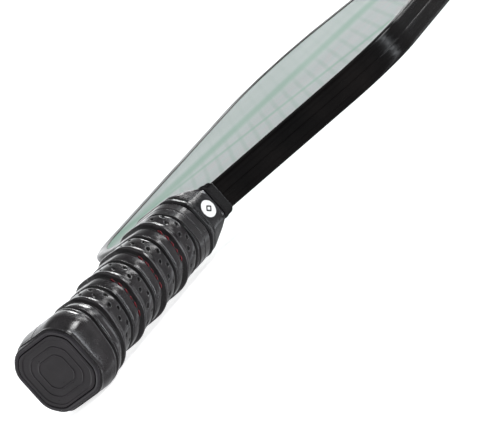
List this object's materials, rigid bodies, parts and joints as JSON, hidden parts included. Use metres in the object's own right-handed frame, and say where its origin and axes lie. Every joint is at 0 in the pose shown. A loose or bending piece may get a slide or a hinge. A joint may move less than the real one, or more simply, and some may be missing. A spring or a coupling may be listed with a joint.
{
  "type": "pickleball paddle",
  "caption": "Pickleball paddle with a flat honeycomb-core head, plastic edge guard, and a wrapped cushion grip with a flared butt cap.",
  "frame": {"origin": "centre of the footprint, level with the lowest point of the grip when the paddle lies face up", "axes": "+Y from the butt to the top of the head, +Z out of the front face, +X to the right seen from the front with the head up"},
  "size_m": [0.204, 0.396, 0.036],
  "materials": {
    "core": "translucent polypropylene honeycomb",
    "adhesive": "cured adhesive film",
    "face_sheet": "glass-fibre sheet in resin",
    "graphic": "satin printed film, pale grey-green with mint bands",
    "guard": "moulded black plastic, polished, rounded edges",
    "handle_foam": "rigid closed-cell foam",
    "cap": "moulded, satin",
    "end_plate": "moulded charcoal rubber, fine grain",
    "base_tape": "double-sided cloth tape",
    "grip": "black polyurethane leather, perforated, glossy",
    "grip_rib": "black polyurethane leather over a cord, glossy",
    "thread": "red sewing thread",
    "tape": "stretched vinyl tape",
    "collar": "smooth rubber, semi-gloss",
    "patch": "white enamelled label",
    "band": "smooth rubber, semi-gloss"
  },
  "bodies": {
    "root": {"honeycomb_core": "core", "front_bond_film": "adhesive", "back_bond_film": "adhesive", "front_face_sheet": "face_sheet", "back_face_sheet": "face_sheet", "front_graphic_film": "graphic", "back_graphic_film": "graphic", "guard_adhesive_strip": "adhesive", "edge_guard": "guard", "front_block_bond": "adhesive", "back_block_bond": "adhesive", "front_handle_block": "handle_foam", "back_handle_block": "handle_foam", "butt_cap": "cap", "butt_end_plate": "end_plate", "grip_base_tape": "base_tape", "cushion_grip": "grip", "grip_rib": "grip_rib", "seam_thread": "thread", "finishing_tape": "tape", "throat_collar": "collar", "collar_patch": "patch", "throat_band": "band"}
  },
  "joints": []
}
